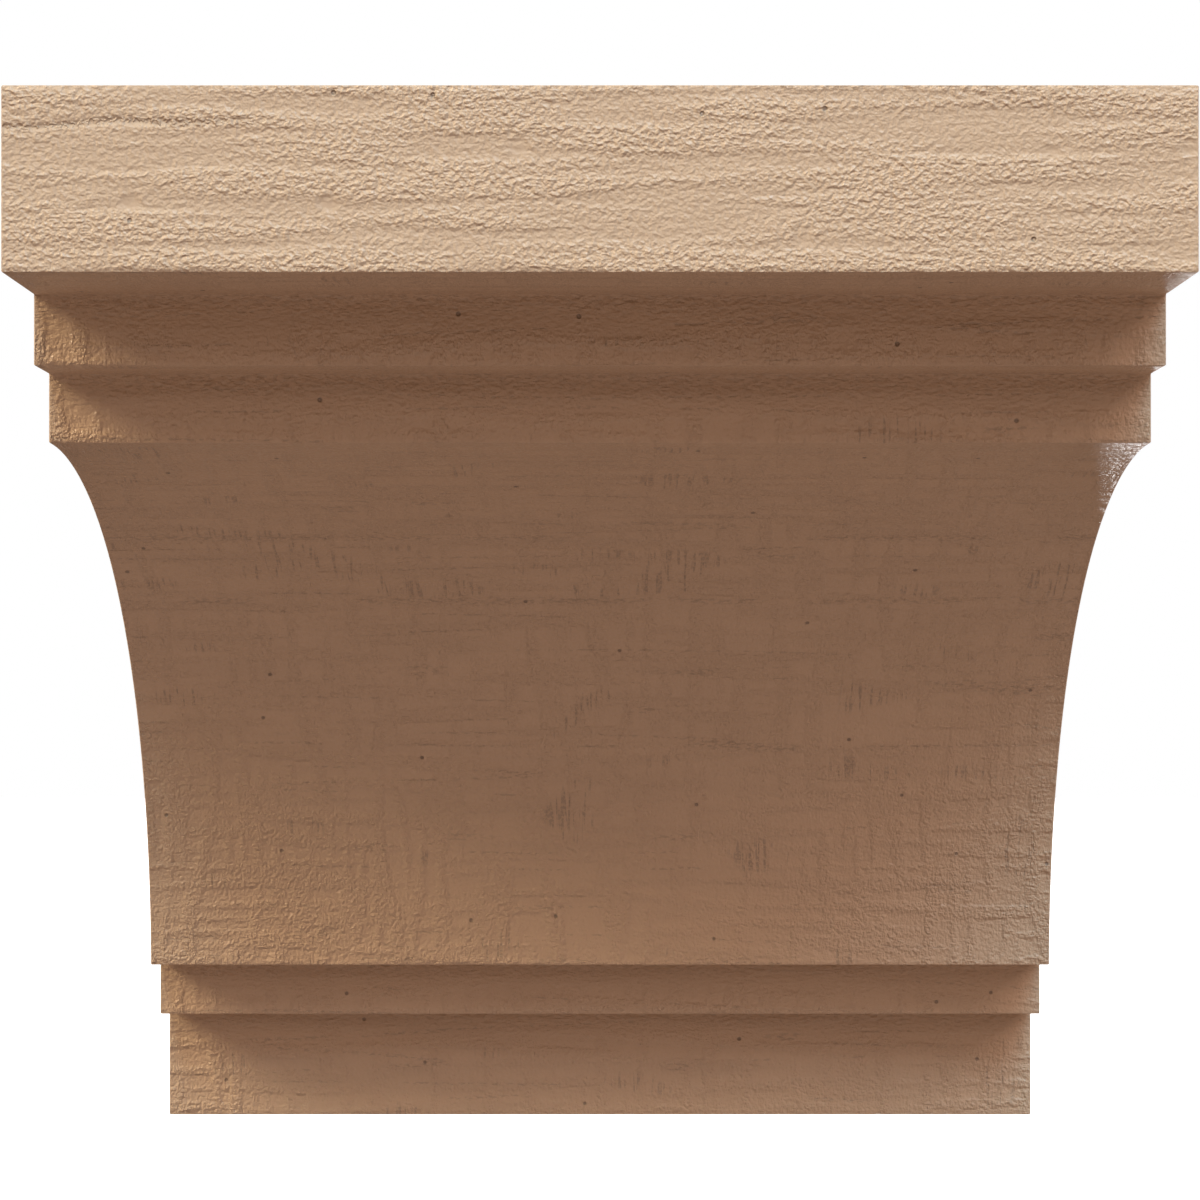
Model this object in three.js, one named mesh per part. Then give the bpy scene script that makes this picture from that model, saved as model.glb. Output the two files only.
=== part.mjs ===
// A square, stepped corbel of rigid moulded foam, made to look like rough-sawn timber.
// Millimetres, +Z up. The origin is the middle of the flat back face, which goes against the wall.
// The front faces -Y and +X is to the right. The piece is one profile carried straight across its width.

import * as THREE from "three";

// Overall width, from side to side
const width = 304.8;

// Heights of the members, from the top down
const slabHeight = 47.625;
const upperStepHeight = 19.05;
const lowerStepHeight = 19.05;
const coveHeight = 161.925;
const collarHeight = 19.05;
const footHeight = 38.1;

// How far each member stands back behind the one above it
const upperStepSetback = 38.1;
const lowerStepSetback = 19.05;
const coveDepth = 161.925;
const collarSetback = 19.05;
const footSetback = 19.05;

// How far the foot stands off the wall
const footProjection = 47.625;

// The cove is a circular arc. Its hollow is its deepest reach behind the straight line between its ends.
const coveHollow = 45.8;
const coveSegments = 80;

const timberColour = 0xcdb191;
const timberRoughness = 0.85;

const height =
  slabHeight + upperStepHeight + lowerStepHeight + coveHeight + collarHeight + footHeight;
const topZ = height / 2;

// Distances out from the wall
const footFront = footProjection;
const collarFront = footFront + footSetback;
const coveFootFront = collarFront + collarSetback;
const lowerStepFront = coveFootFront + coveDepth;
const upperStepFront = lowerStepFront + lowerStepSetback;
const slabFront = upperStepFront + upperStepSetback;

// Heights of the arrises, from the top down
const slabUnderside = topZ - slabHeight;
const upperStepUnderside = slabUnderside - upperStepHeight;
const coveTop = upperStepUnderside - lowerStepHeight;
const coveFoot = coveTop - coveHeight;
const collarUnderside = coveFoot - collarHeight;
const bottomZ = collarUnderside - footHeight;

// The arc from the cove's upper arris to its foot, bulging in towards the wall
function coveArc(upper, lower, hollow) {
  const chord = new THREE.Vector2().subVectors(lower, upper);
  const halfChord = chord.length() / 2;
  const radius = (halfChord ** 2 + hollow ** 2) / (2 * hollow);
  const middle = new THREE.Vector2().addVectors(upper, lower).multiplyScalar(0.5);
  const towardsFront = new THREE.Vector2(-chord.y, chord.x).normalize();
  const centre = middle.addScaledVector(towardsFront, radius - hollow);
  const startAngle = Math.atan2(upper.y - centre.y, upper.x - centre.x);
  const endAngle = Math.atan2(lower.y - centre.y, lower.x - centre.x);
  return { centre, radius, startAngle, endAngle };
}

// The side profile: x is the distance out from the wall, y is the height
function sideProfile() {
  const upper = new THREE.Vector2(lowerStepFront, coveTop);
  const lower = new THREE.Vector2(coveFootFront, coveFoot);
  const arc = coveArc(upper, lower, coveHollow);
  const profile = new THREE.Shape();
  profile.moveTo(0, bottomZ);
  profile.lineTo(0, topZ);
  profile.lineTo(slabFront, topZ);
  profile.lineTo(slabFront, slabUnderside);
  profile.lineTo(upperStepFront, slabUnderside);
  profile.lineTo(upperStepFront, upperStepUnderside);
  profile.lineTo(lowerStepFront, upperStepUnderside);
  profile.lineTo(lowerStepFront, coveTop);
  profile.absarc(arc.centre.x, arc.centre.y, arc.radius, arc.startAngle, arc.endAngle, false);
  profile.lineTo(collarFront, coveFoot);
  profile.lineTo(collarFront, collarUnderside);
  profile.lineTo(footFront, collarUnderside);
  profile.lineTo(footFront, bottomZ);
  profile.closePath();
  return profile;
}

// The profile stands in the side plane, with its outward direction turned to -Y
function buildCorbel() {
  const geometry = new THREE.ExtrudeGeometry(sideProfile(), {
    depth: width,
    bevelEnabled: false,
    curveSegments: coveSegments,
  });
  geometry.translate(0, 0, -width / 2);
  const outwards = new THREE.Vector3(0, -1, 0);
  const upwards = new THREE.Vector3(0, 0, 1);
  const across = new THREE.Vector3().crossVectors(outwards, upwards);
  geometry.applyMatrix4(new THREE.Matrix4().makeBasis(outwards, upwards, across));
  const material = new THREE.MeshStandardMaterial({
    color: timberColour,
    roughness: timberRoughness,
    metalness: 0,
  });
  const corbel = new THREE.Mesh(geometry, material);
  corbel.name = "corbel";
  return corbel;
}

const part = new THREE.Group();
part.add(buildCorbel());

export default part;
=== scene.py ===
import math
import bmesh
import bpy
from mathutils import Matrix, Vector, kdtree, noise


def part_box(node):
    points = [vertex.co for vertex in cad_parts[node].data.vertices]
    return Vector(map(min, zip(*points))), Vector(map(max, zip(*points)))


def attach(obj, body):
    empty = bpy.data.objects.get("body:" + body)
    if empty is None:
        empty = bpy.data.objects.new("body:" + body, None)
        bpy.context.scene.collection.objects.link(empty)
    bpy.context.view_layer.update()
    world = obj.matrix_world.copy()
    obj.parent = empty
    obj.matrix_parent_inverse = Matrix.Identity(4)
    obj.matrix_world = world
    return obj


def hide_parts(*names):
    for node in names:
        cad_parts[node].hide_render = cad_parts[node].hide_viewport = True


# A square stepped corbel, moulded in one piece to look like rough-sawn timber and primed tan.
# Metres. The front faces -Y, +X is to the right, and the flat back lies at y = 0.

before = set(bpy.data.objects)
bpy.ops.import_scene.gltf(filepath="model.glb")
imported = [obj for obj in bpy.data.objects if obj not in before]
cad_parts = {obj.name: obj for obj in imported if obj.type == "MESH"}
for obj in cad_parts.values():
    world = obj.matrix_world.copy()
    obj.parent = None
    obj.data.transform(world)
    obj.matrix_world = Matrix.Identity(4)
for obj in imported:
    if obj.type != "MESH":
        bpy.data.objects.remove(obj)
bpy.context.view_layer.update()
MM = 0.001

low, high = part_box("corbel")
width = high.x - low.x
height = high.z - low.z

# The camera stands level with the block's middle, as far off as the narrowing of the lower members tells
CAMERA_FROM_SLAB = 2.1567 * width
SENSOR_WIDTH = 36.0
FRAME_PIXELS = 1200
SLAB_PIXELS = 1198
MIDDLE_BELOW_CENTRE_PIXELS = 84

# The floor lies far enough below to be out of the way when the piece is seen from underneath. It glows so
# as to look nearly as white as the room.
FLOOR_DROP = 4 * height
FLOOR_REACH = 30.0
FLOOR_PAINT = (0.95, 0.95, 0.95, 1)
FLOOR_GLOW = 0.6

# Mesh: rows run across the width, slices cut the width
ARRIS_RADIUS = 0.3 * MM
ROW_FRONT = 1.5 * MM
ROW_TOP = 4.0 * MM
ROW_BACK = 8.0 * MM
SLICE = 1.8 * MM
CHEEK_GRID = 3.4 * MM

# Points closer together than these are one point: in the solid, and where a cheek is cut into its grid
WELD = 0.01 * MM
CUT_SNAP = 0.02 * MM

# The least angle at a corner, the least at the edges of a softened one, and the most within a flat face
CORNER_ANGLE = math.radians(30)
ARRIS_ANGLE = math.radians(20)
FLAT_ANGLE = math.radians(0.1)

# Where the cheeks lie in the grain map, clear of the faces that run across the width
CHEEK_ALONG = 3.0
CHEEK_ACROSS = 4.0

# Relief in the mesh, as depth below the drawn face, and how steep its furrows, strokes and patches are
ARRIS_FADE = 2.5 * MM
SWELL_DEPTH = 0.14 * MM
FURROW_DEPTH = 0.07 * MM
FURROW_WAVER = 2.0 * MM
FURROW_STEEPNESS = 4
STROKE_DEPTH = 0.08 * MM
STROKE_STEEPNESS = 3.5
PATCH_STEEPNESS = 2.5

# How far the painted shade of an inside corner reaches out of it
SHELTER_REACH = 14.0 * MM

# Finish: the fine relief's depth, and how far some of its noise is turned so as not to look woven
BUMP_DEPTH = 0.6 * MM
FINE_TURN = math.radians(35)

# The row of saw strokes in the cove: its distance round the outline, how far it reaches either way, how
# far its ragged edges do, and where it has thinned out towards the right
STROKE_ROW = 1119 * MM
STROKE_ROW_REACH = 16 * MM
STROKE_ROW_EDGE = 3 * MM
STROKE_ROW_END = 45 * MM

# The chipped groove in the slab's front: its distance round the outline, its size and its right-hand end
GROOVE = 203 * MM
GROOVE_HALF_WIDTH = 1.3 * MM
GROOVE_WAVER = 4 * MM
GROOVE_END = -75 * MM

# How far from its right-hand end the row or the groove reaches its full strength
END_FADE = 30 * MM

# How deep each mark is sunk, as a share of BUMP_DEPTH, and how much painted shade darkens it
CRACK_SINK = 0.2
CRACK_PAINTED_SHADE = 0.3
STROKE_SINK = 0.3
STROKE_PAINTED_SHADE = 0.4
GROOVE_SINK = 0.55
GROOVE_PAINTED_SHADE = 0.18
PINHOLE_SINK = 1.0
PINHOLE_PAINTED_SHADE = 0.7

# The primer's colours, and the colour of the painted shade laid into its cracks, strokes, groove, pinholes
# and inside corners
PRIMER_LIGHT = (0.655, 0.462, 0.294, 1)
PRIMER_DARK = (0.635, 0.448, 0.286, 1)
HOLLOW_PAINTED_SHADE = (0.23, 0.17, 0.125, 1)

# The primer is shinier on the raised fibre than in the hollows
HOLLOW_ROUGHNESS = 0.75
FIBRE_ROUGHNESS = 0.38

# Which sockets of a Mix node carry its colours
MIX_COLOUR_A = 6
MIX_COLOUR_B = 7
MIX_COLOUR_RESULT = 2

# The light from above is cool, that from the left yellowest
COOL = (0.462, 0.761, 1.0)
WARM = (1.0, 0.77, 0.71)
AMBER = (0.965, 0.80, 0.575)
WHITE = (1.0, 1.0, 1.0)


def noise_at(along, across, along_mm, across_mm, seed):
    """Smooth noise from -1 to 1 with the given size of its cells, in millimetres."""
    return noise.noise(Vector((along / (along_mm * MM), across / (across_mm * MM), seed)))


def relief_depth(along, across):
    """Depth of the sawn relief that is large enough for the mesh, at a place along and across the grain."""
    swell = 0.5 + 0.5 * noise_at(along, across, along_mm=38, across_mm=11, seed=3.1)
    waver = FURROW_WAVER * noise_at(along, across, along_mm=30, across_mm=60, seed=8.7)
    off_furrow = abs(noise_at(along, across + waver, along_mm=70, across_mm=5.5, seed=14.9))
    off_stroke = abs(noise_at(along, across, along_mm=6, across_mm=26, seed=21.3))
    patch = PATCH_STEEPNESS * noise_at(along, across, along_mm=34, across_mm=22, seed=27.7)
    furrow = max(1 - FURROW_STEEPNESS * off_furrow, 0)
    stroke = max(1 - STROKE_STEEPNESS * off_stroke, 0)
    patch = min(max(patch, 0), 1)
    return SWELL_DEPTH * swell + FURROW_DEPTH * furrow ** 2 + STROKE_DEPTH * patch * stroke ** 2


def cheek_outline():
    """The block's left cheek, taken from the solid, as one face with its corners just rounded."""
    mesh = bmesh.new()
    mesh.from_mesh(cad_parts["corbel"].data)
    bmesh.ops.remove_doubles(mesh, verts=mesh.verts, dist=WELD)
    bmesh.ops.dissolve_limit(mesh, angle_limit=FLAT_ANGLE, verts=mesh.verts, edges=mesh.edges)
    cheek = min(mesh.faces, key=lambda face: face.calc_center_median().x)
    others = [face for face in mesh.faces if face is not cheek]
    bmesh.ops.delete(mesh, geom=others, context="FACES")
    corners = [
        vert for vert in mesh.verts
        if abs(math.pi - vert.link_loops[0].calc_angle()) > CORNER_ANGLE
    ]
    bmesh.ops.bevel(
        mesh,
        geom=corners,
        offset=ARRIS_RADIUS,
        segments=2,
        profile=0.5,
        affect="VERTICES",
        material=-1,
    )
    return mesh


def row_spacing(edge):
    """How close the rows lie where an edge of the outline runs: closest at the front."""
    start, end = (vert.co for vert in edge.verts)
    flush = 2 * ARRIS_RADIUS
    if min(start.y, end.y) > high.y - flush:
        return ROW_BACK
    if min(start.z, end.z) > high.z - flush or max(start.z, end.z) < low.z + flush:
        return ROW_TOP
    return ROW_FRONT


def divide_outline(mesh):
    for edge in list(mesh.edges):
        cuts = round(edge.calc_length() / row_spacing(edge)) - 1
        if cuts > 0:
            bmesh.ops.subdivide_edges(mesh, edges=[edge], cuts=cuts)


def measure_outline(mesh):
    """Writes the distance run round the outline onto its vertices and returns the whole distance."""
    run = mesh.verts.layers.float.new("across")
    face = next(iter(mesh.faces))
    distance = 0.0
    for loop in face.loops:
        loop.vert[run] = distance
        distance += loop.edge.calc_length()
    return distance


def carry_across(mesh):
    """Carries the outline across the width, closes the far end and returns the edges that cross the width."""
    inner_width = width - 2 * ARRIS_RADIUS
    bmesh.ops.translate(mesh, verts=mesh.verts, vec=(ARRIS_RADIUS, 0, 0))
    swept = bmesh.ops.extrude_edge_only(mesh, edges=mesh.edges[:])
    far_verts = {item for item in swept["geom"] if isinstance(item, bmesh.types.BMVert)}
    bmesh.ops.translate(mesh, verts=list(far_verts), vec=(inner_width, 0, 0))
    far_edges = [edge for edge in mesh.edges if far_verts.issuperset(edge.verts)]
    bmesh.ops.contextual_create(mesh, geom=far_edges)
    return [edge for edge in mesh.edges if len(far_verts.intersection(edge.verts)) == 1]


def finish_cheeks(mesh):
    """Gives both cheeks, the only faces with more than four corners, a soft arris and a grid."""
    cheeks = [face for face in mesh.faces if len(face.verts) > 4]
    bmesh.ops.recalc_face_normals(mesh, faces=mesh.faces)
    bmesh.ops.inset_individual(mesh, faces=cheeks, thickness=ARRIS_RADIUS, depth=ARRIS_RADIUS)
    edges = {edge for face in cheeks for edge in face.edges}
    verts = {vert for face in cheeks for vert in face.verts}
    flat = [*verts, *edges, *cheeks]
    for axis, start, end in ((1, low.y, high.y), (2, low.z, high.z)):
        steps = round((end - start) / CHEEK_GRID)
        for step in range(1, steps):
            place = Vector()
            place[axis] = start + (end - start) * step / steps
            normal = Vector()
            normal[axis] = 1
            cut = bmesh.ops.bisect_plane(mesh, geom=flat, dist=CUT_SNAP, plane_co=place, plane_no=normal)
            flat = cut["geom"]


def lay_grain(mesh, outline_length):
    """UV map in metres: first along the grain, then across it. The cheeks' grain runs front to back."""
    run = mesh.verts.layers.float["across"]
    grain = mesh.loops.layers.uv.new("grain")
    for face in mesh.faces:
        on_cheek = abs(face.normal.x) > 0.5
        across = [loop.vert[run] for loop in face.loops]
        wraps = max(across) - min(across) > outline_length / 2
        for loop in face.loops:
            place = loop.vert.co
            if on_cheek:
                side = math.copysign(CHEEK_ALONG, place.x)
                loop[grain].uv = (place.y + side, place.z + CHEEK_ACROSS)
                continue
            run_here = loop.vert[run]
            if wraps and run_here < outline_length / 2:
                run_here += outline_length
            loop[grain].uv = (place.x, run_here)


def nearest_to(verts):
    tree = kdtree.KDTree(len(verts))
    for index, vert in enumerate(verts):
        tree.insert(vert.co, index)
    tree.balance()
    return tree


def mark_torn(mesh):
    """Writes 1 onto the slab's vertices, but for its underside and the block's flat back, and 0 elsewhere."""
    torn = mesh.verts.layers.float.new("torn")
    slab_foot = min(vert.co.z for vert in mesh.verts if vert.co.y < low.y + ARRIS_RADIUS)
    for vert in mesh.verts:
        if vert.co.z > slab_foot and vert.co.y < high.y - ARRIS_RADIUS:
            vert[torn] = 1.0


def mark_shelter(mesh):
    """Writes onto each vertex how deep it lies in an inside corner: 1 in the corner, 0 beyond its reach."""
    shelter = mesh.verts.layers.float.new("shelter")
    mesh.normal_update()
    corners = [
        vert for vert in mesh.verts
        if any(edge.calc_face_angle_signed(0) < -CORNER_ANGLE for edge in vert.link_edges)
    ]
    tree = nearest_to(corners)
    for vert in mesh.verts:
        distance = tree.find(vert.co)[2]
        vert[shelter] = max(1 - distance / SHELTER_REACH, 0)


def sink_relief(mesh):
    """Sinks the faces by the sawn relief, which fades out at every arris so that the outline stays true."""
    grain = mesh.loops.layers.uv["grain"]
    mesh.normal_update()
    arris = [
        vert for vert in mesh.verts
        if any(edge.calc_face_angle(0) > ARRIS_ANGLE for edge in vert.link_edges)
    ]
    tree = nearest_to(arris)
    moves = []
    for vert in mesh.verts:
        share = min(tree.find(vert.co)[2] / ARRIS_FADE, 1)
        fade = share * share * (3 - 2 * share)
        along, across = vert.link_loops[0][grain].uv
        moves.append((vert, -fade * relief_depth(along, across) * vert.normal))
    for vert, move in moves:
        vert.co += move


def build_corbel():
    mesh = cheek_outline()
    divide_outline(mesh)
    outline_length = measure_outline(mesh)
    crossing = carry_across(mesh)
    finish_cheeks(mesh)
    bmesh.ops.subdivide_edges(mesh, edges=crossing, cuts=round(width / SLICE) - 1)
    bmesh.ops.recalc_face_normals(mesh, faces=mesh.faces)
    lay_grain(mesh, outline_length)
    mark_torn(mesh)
    mark_shelter(mesh)
    sink_relief(mesh)
    for face in mesh.faces:
        face.smooth = True
    for edge in mesh.edges:
        edge.smooth = edge.calc_face_angle(0) < CORNER_ANGLE
    data = bpy.data.meshes.new("rough_sawn_corbel")
    mesh.to_mesh(data)
    mesh.free()
    piece = bpy.data.objects.new("rough_sawn_corbel", data)
    bpy.context.scene.collection.objects.link(piece)
    return piece


class Nodes:
    """A short way to write a material's nodes."""

    def __init__(self, tree):
        self.tree = tree

    def add(self, kind, inputs=None, **settings):
        node = self.tree.nodes.new(kind)
        for name, value in settings.items():
            setattr(node, name, value)
        for key, value in (inputs or {}).items():
            self.feed(node.inputs[key], value)
        return node

    def feed(self, socket, value):
        if isinstance(value, bpy.types.NodeSocket):
            self.tree.links.new(value, socket)
        else:
            socket.default_value = value

    def math(self, operation, first, second=0.0):
        return self.add("ShaderNodeMath", {0: first, 1: second}, operation=operation).outputs[0]

    def product(self, first, *others):
        for other in others:
            first = self.math("MULTIPLY", first, other)
        return first

    def largest(self, first, *others):
        for other in others:
            first = self.math("MAXIMUM", first, other)
        return first

    def distance(self, first, second):
        """How far apart two values are."""
        return self.math("ABSOLUTE", self.math("SUBTRACT", first, second))

    def weighted_sum(self, *terms):
        """The sum of sockets, each given with its own weight."""
        total = self.product(*terms[0])
        for socket, weight in terms[1:]:
            node = self.add("ShaderNodeMath", {0: socket, 1: weight, 2: total}, operation="MULTIPLY_ADD")
            total = node.outputs[0]
        return total

    def ramp(self, value, start, end, low_out=0.0, high_out=1.0):
        """A smooth step from low_out at start to high_out at end."""
        node = self.add(
            "ShaderNodeMapRange",
            {"Value": value, "From Min": start, "From Max": end, "To Min": low_out, "To Max": high_out},
            interpolation_type="SMOOTHSTEP",
        )
        return node.outputs["Result"]

    def mix(self, share, first, second):
        """Two colours mixed: the first alone at a share of 0, the second alone at 1."""
        node = self.add("ShaderNodeMix", {"Factor": share}, data_type="RGBA")
        self.feed(node.inputs[MIX_COLOUR_A], first)
        self.feed(node.inputs[MIX_COLOUR_B], second)
        return node.outputs[MIX_COLOUR_RESULT]

    def written(self, name):
        """What the mesh's vertices carry under a name."""
        return self.add("ShaderNodeAttribute", attribute_name=name).outputs["Fac"]

    def grain(self):
        return self.add("ShaderNodeUVMap", uv_map="grain").outputs["UV"]

    def stretch(self, along_mm, across_mm, place, turn=0.0):
        """The grain's map with one unit the given size along and across the grain, then turned."""
        inputs = {
            "Vector": self.grain(),
            "Location": (*place, 0),
            "Rotation": (0, 0, turn),
            "Scale": (1000 / along_mm, 1000 / across_mm, 1),
        }
        return self.add("ShaderNodeMapping", inputs).outputs[0]

    def noise(self, along_mm, across_mm, place, detail=1.0, turn=0.0):
        """Noise from 0 to 1 with the given size of its cells, along and across the grain."""
        inputs = {
            "Vector": self.stretch(along_mm, across_mm, place, turn),
            "Scale": 1.0,
            "Detail": detail,
            "Roughness": 0.55,
        }
        return self.add("ShaderNodeTexNoise", inputs, noise_dimensions="2D").outputs["Fac"]

    def dots(self, spacing_mm, radius_mm, place, stretch=1.0):
        """Round dots strewn over the faces: 1 in the middle of a dot, 0 outside it."""
        texture = self.add(
            "ShaderNodeTexVoronoi",
            {"Vector": self.stretch(spacing_mm * stretch, spacing_mm, place), "Scale": 1.0},
            voronoi_dimensions="2D",
        )
        radius = radius_mm / spacing_mm
        return self.ramp(texture.outputs["Distance"], radius, 0.35 * radius)


def torn_relief(nodes, fibre, band):
    """Leathery torn fibre in lumps, roughest in bands along the grain, with spots that were pressed flat."""
    spot = nodes.dots(spacing_mm=45, radius_mm=3.0, place=(0.4, 0.9), stretch=1.2)
    rough = nodes.weighted_sum((nodes.ramp(band, 0.30, 0.66, 0.5, 1.15), 1.0), (spot, -0.4))
    lump = nodes.noise(along_mm=2.3, across_mm=1.6, place=(7.1, 3.9))
    return nodes.product(nodes.weighted_sum((fibre, 0.85), (lump, 0.8)), rough)


def sawn_relief(nodes, fibre, shelter, across):
    """Shallower fibre, creased both ways, gathered along the light folds and lumpy near inside corners.
    The cheeks have fainter upright folds."""
    level = nodes.noise(along_mm=48, across_mm=4.5, place=(5.7, 2.9), detail=0.0)
    upright = nodes.noise(along_mm=5, across_mm=32, place=(6.3, 7.7), detail=0.0)
    upright_share = nodes.ramp(across, 0.5 * CHEEK_ACROSS, 0.8 * CHEEK_ACROSS, 1.0, 0.75)
    fold = nodes.largest(level, nodes.product(upright, upright_share))
    ridge = nodes.noise(along_mm=0.9, across_mm=1.5, place=(2.2, 8.4))
    lump = nodes.noise(along_mm=2.4, across_mm=1.1, place=(3.1, 0.2), turn=FINE_TURN)
    crinkle = nodes.weighted_sum((fibre, 0.5), (ridge, 0.8), (lump, 0.65))
    crinkle = nodes.product(crinkle, nodes.ramp(fold, 0.42, 0.70, 0.65, 1.3))
    open_share = nodes.ramp(shelter, 0.0, 0.5, 1.0, 0.4)
    lump_share = nodes.ramp(shelter, 0.0, 0.5, 0.0, 0.4)
    return nodes.weighted_sum((crinkle, open_share), (lump, lump_share), (fold, 0.3))


def crack_marks(nodes, shelter, patch, off_row):
    """Ragged fibre, sunk and darkened with painted shade, strung along a few level lines and both edges of
    the row of saw strokes, and gathered in the inside corners, where it stands for their shade."""
    level = nodes.noise(along_mm=220, across_mm=9, place=(9.3, 2.1), detail=0.0)
    line = nodes.ramp(nodes.distance(level, 0.5), 0.05, 0.0)
    line = nodes.product(line, nodes.ramp(patch, 0.48, 0.62))
    edge = nodes.ramp(nodes.distance(off_row, STROKE_ROW_REACH), STROKE_ROW_EDGE, 0.0)
    edge = nodes.product(edge, nodes.ramp(patch, 0.60, 0.48))
    corner = nodes.ramp(shelter, 0.2, 1.0, 0.0, 0.6)
    fibre = nodes.noise(along_mm=2.4, across_mm=0.9, place=(3.7, 1.3), detail=2.0)
    return nodes.product(nodes.ramp(fibre, 0.48, 0.62), nodes.largest(line, corner, edge))


def groove_mark(nodes, along, across, fibre, patch):
    """One level, wavering groove that starts at the slab's left end and fades out."""
    waver = nodes.product(nodes.math("SUBTRACT", patch, 0.5), GROOVE_WAVER)
    off_line = nodes.distance(nodes.math("SUBTRACT", across, GROOVE), waver)
    line = nodes.ramp(off_line, GROOVE_HALF_WIDTH, 0.0)
    left = nodes.ramp(along, GROOVE_END, GROOVE_END - END_FADE)
    return nodes.product(line, left, nodes.ramp(fibre, 0.62, 0.50, 0.25, 1.0))


def stroke_marks(nodes, fibre, shelter, patch, along, off_row):
    """Upright saw strokes, broken up by the fibre: a row of them high in the cove, and rare open patches."""
    stroke = nodes.ramp(nodes.noise(along_mm=1.3, across_mm=18, place=(8.1, 5.9)), 0.44, 0.35)
    near_row = nodes.ramp(off_row, STROKE_ROW_REACH, 0.6 * STROKE_ROW_REACH, 0.0, 0.22)
    left = nodes.ramp(along, STROKE_ROW_END, STROKE_ROW_END - END_FADE, 0.35, 1.0)
    zone = nodes.ramp(nodes.math("SUBTRACT", patch, nodes.product(near_row, left)), 0.28, 0.18)
    zone = nodes.product(zone, nodes.ramp(shelter, 0.3, 0.0))
    return nodes.product(stroke, zone, nodes.ramp(fibre, 0.42, 0.56, 0.3, 1.0))


def finish_timber(piece):
    """Tan primer over sawn fibre, with painted shade darkening its cracks, saw strokes, groove, pinholes and
    inside corners.
    """
    material = bpy.data.materials.new("rough_sawn_primed")
    material.use_nodes = True
    nodes = Nodes(material.node_tree)
    shader = material.node_tree.nodes["Principled BSDF"]
    torn = nodes.written("torn")
    shelter = nodes.written("shelter")
    sawn = nodes.math("SUBTRACT", 1.0, torn)
    band = nodes.noise(along_mm=70, across_mm=7, place=(1.2, 6.6))
    patch = nodes.noise(along_mm=30, across_mm=15, place=(0.8, 4.7), detail=0.0)
    fibre = nodes.noise(along_mm=1.3, across_mm=1.2, place=(0, 0))

    grain = nodes.add("ShaderNodeSeparateXYZ", {0: nodes.grain()})
    along, across = grain.outputs["X"], grain.outputs["Y"]
    off_row = nodes.distance(across, STROKE_ROW)
    crack = nodes.product(crack_marks(nodes, shelter, patch, off_row), sawn)
    stroke = nodes.product(stroke_marks(nodes, fibre, shelter, patch, along, off_row), sawn)
    groove = nodes.product(groove_mark(nodes, along, across, fibre, patch), torn)
    pinhole = nodes.dots(spacing_mm=50, radius_mm=0.8, place=(5.3, 2.6))
    relief = nodes.weighted_sum(
        (nodes.product(torn_relief(nodes, fibre, band), torn), 1.0),
        (nodes.product(sawn_relief(nodes, fibre, shelter, across), sawn), 1.0),
        (crack, -CRACK_SINK),
        (stroke, -STROKE_SINK),
        (groove, -GROOVE_SINK),
        (pinhole, -PINHOLE_SINK),
    )
    bump = nodes.add("ShaderNodeBump", {"Strength": 1.0, "Distance": BUMP_DEPTH, "Height": relief})
    nodes.feed(shader.inputs["Normal"], bump.outputs["Normal"])

    primer = nodes.mix(nodes.ramp(band, 0.30, 0.70), PRIMER_DARK, PRIMER_LIGHT)
    # Painted shade: the cracks, strokes, groove, pinholes and inside corners are darkened in the base colour
    painted_shade_share = nodes.largest(
        nodes.product(crack, CRACK_PAINTED_SHADE),
        nodes.product(stroke, STROKE_PAINTED_SHADE),
        nodes.product(groove, GROOVE_PAINTED_SHADE),
        nodes.product(pinhole, PINHOLE_PAINTED_SHADE),
    )
    nodes.feed(shader.inputs["Base Color"], nodes.mix(painted_shade_share, primer, HOLLOW_PAINTED_SHADE))
    roughness = nodes.ramp(fibre, 0.40, 0.58, HOLLOW_ROUGHNESS, FIBRE_ROUGHNESS)
    nodes.feed(shader.inputs["Roughness"], roughness)
    piece.data.materials.append(material)


def set_camera():
    lens = SENSOR_WIDTH * CAMERA_FROM_SLAB * SLAB_PIXELS / (width * FRAME_PIXELS)
    data = bpy.data.cameras.new("camera")
    data.sensor_width = SENSOR_WIDTH
    data.lens = lens
    data.shift_y = MIDDLE_BELOW_CENTRE_PIXELS / FRAME_PIXELS
    camera = bpy.data.objects.new("camera", data)
    camera.location = (0, low.y - CAMERA_FROM_SLAB, (low.z + high.z) / 2)
    camera.rotation_euler = (math.radians(90), 0, 0)
    bpy.context.scene.collection.objects.link(camera)
    bpy.context.scene.camera = camera


def add_light(name, azimuth, elevation, strength, tint, spread=30, lights=True, shines=True):
    """A soft distant light. Azimuth 0 is straight in front and grows to the right; angles are in degrees.
    Strength is the share of the light that a white face square to it sends back. A light that doesn't
    light shows in the sheen alone, and one that doesn't shine leaves no sheen."""
    turn = math.radians(azimuth)
    rise = math.radians(elevation)
    towards = Vector((math.sin(turn) * math.cos(rise), -math.cos(turn) * math.cos(rise), math.sin(rise)))
    data = bpy.data.lights.new(name, "SUN")
    data.energy = math.pi * strength
    data.color = tint
    data.angle = math.radians(spread)
    light = bpy.data.objects.new(name, data)
    light.rotation_euler = towards.to_track_quat("Z", "Y").to_euler()
    light.visible_diffuse = lights
    light.visible_glossy = shines
    bpy.context.scene.collection.objects.link(light)


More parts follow.
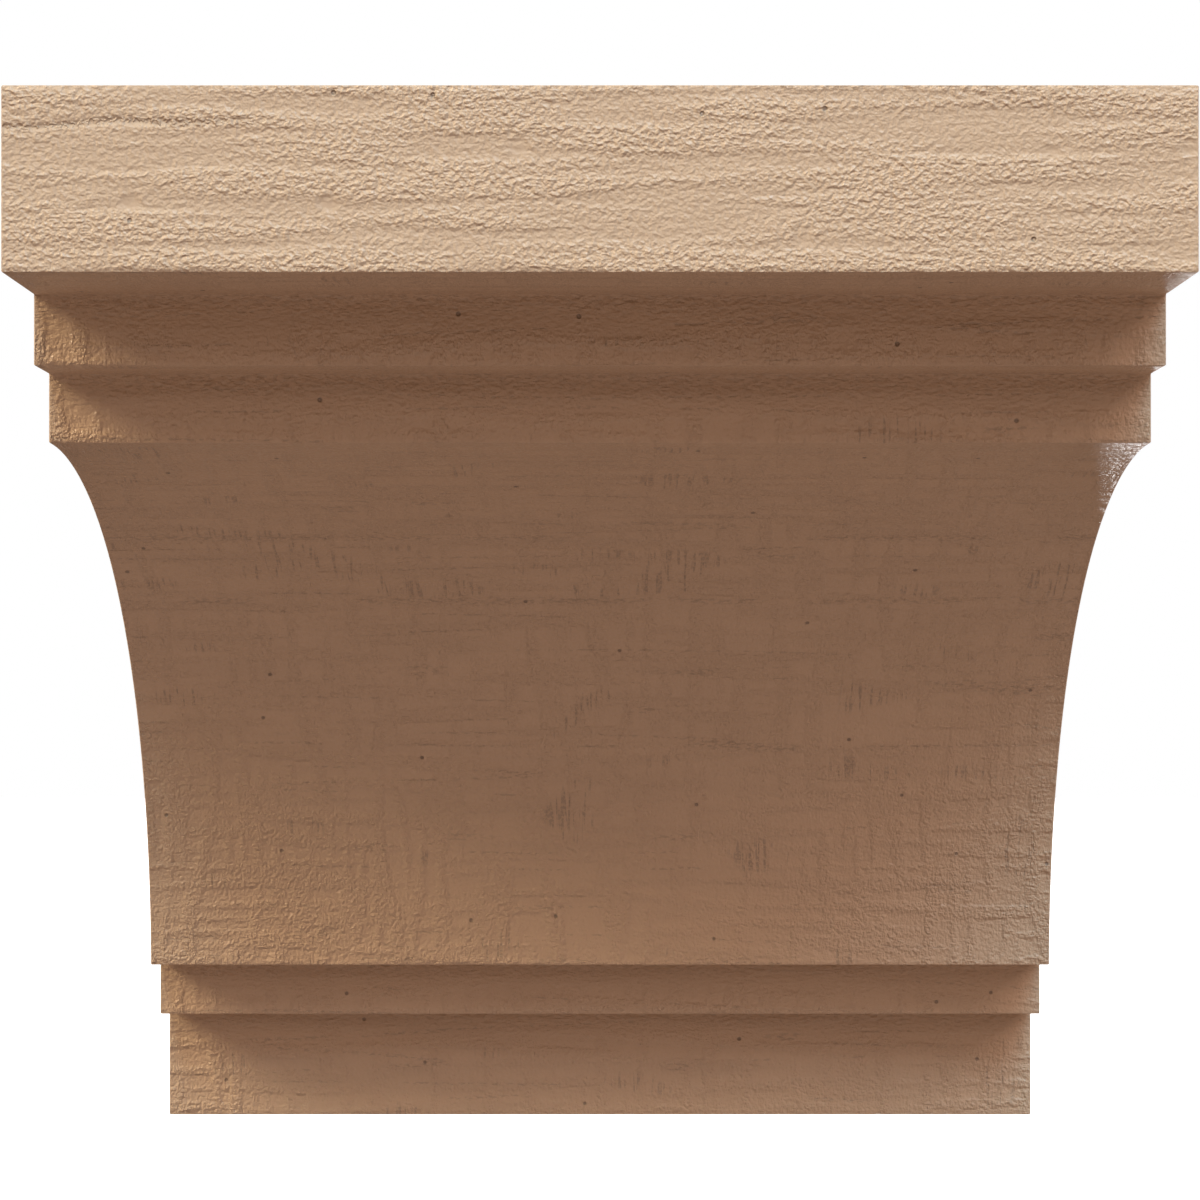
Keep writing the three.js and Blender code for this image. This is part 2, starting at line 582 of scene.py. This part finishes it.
def set_lights():
    add_light("above", azimuth=0, elevation=55, strength=0.45, tint=COOL)
    add_light("above_right", azimuth=25, elevation=55, strength=0.411, tint=COOL)
    add_light("left", azimuth=-70, elevation=40, strength=0.98, tint=AMBER)
    add_light("right", azimuth=50, elevation=40, strength=0.27, tint=WARM)
    add_light("front", azimuth=0, elevation=25, strength=0.12, tint=WARM)
    add_light("low_left", azimuth=-75, elevation=-30, strength=0.265, tint=WARM, spread=120)
    add_light("low_right", azimuth=75, elevation=-30, strength=0.295, tint=WARM, spread=120)
    add_light("behind_left", azimuth=-130, elevation=10, strength=0.3, tint=COOL, spread=60, shines=False)
    add_light("behind_right", azimuth=140, elevation=10, strength=0.3, tint=WHITE, spread=60, shines=False)
    add_light("behind", azimuth=180, elevation=10, strength=0.45, tint=WARM, spread=60, shines=False)
    add_light("glint", azimuth=168, elevation=-10, strength=0.03, tint=WHITE, spread=4, lights=False)
    add_light("low_glint", azimuth=175, elevation=-26, strength=0.2, tint=WHITE, spread=5, lights=False)


def set_room():
    """A white background that lights nothing, so that all the light comes from the lights."""
    scene = bpy.context.scene
    world = bpy.data.worlds.new("white_room")
    world.use_nodes = True
    background = world.node_tree.nodes["Background"]
    background.inputs["Color"].default_value = (1, 1, 1, 1)
    scene.world = world
    world.cycles_visibility.diffuse = False
    world.cycles_visibility.glossy = False
    scene.view_settings.view_transform = "Standard"
    scene.cycles.use_denoising = True
    scene.cycles.max_bounces = 2


def lay_floor():
    """A pale floor that neither lights nor shades the piece."""
    floor_mesh = bmesh.new()
    bmesh.ops.create_grid(floor_mesh, x_segments=8, y_segments=8, size=FLOOR_REACH)
    bmesh.ops.translate(floor_mesh, verts=floor_mesh.verts, vec=(0, 0, low.z - FLOOR_DROP))
    data = bpy.data.meshes.new("floor")
    floor_mesh.to_mesh(data)
    floor_mesh.free()
    floor = bpy.data.objects.new("floor", data)
    bpy.context.scene.collection.objects.link(floor)
    floor.visible_diffuse = False
    floor.visible_glossy = False
    floor.visible_shadow = False
    paint = bpy.data.materials.new("pale_floor")
    paint.use_nodes = True
    shader = paint.node_tree.nodes["Principled BSDF"]
    shader.inputs["Base Color"].default_value = FLOOR_PAINT
    shader.inputs["Roughness"].default_value = 1.0
    shader.inputs["Emission Color"].default_value = (1, 1, 1, 1)
    shader.inputs["Emission Strength"].default_value = FLOOR_GLOW
    data.materials.append(paint)


set_camera()
set_lights()
set_room()
lay_floor()
corbel = build_corbel()
finish_timber(corbel)
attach(corbel, "root")
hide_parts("corbel")
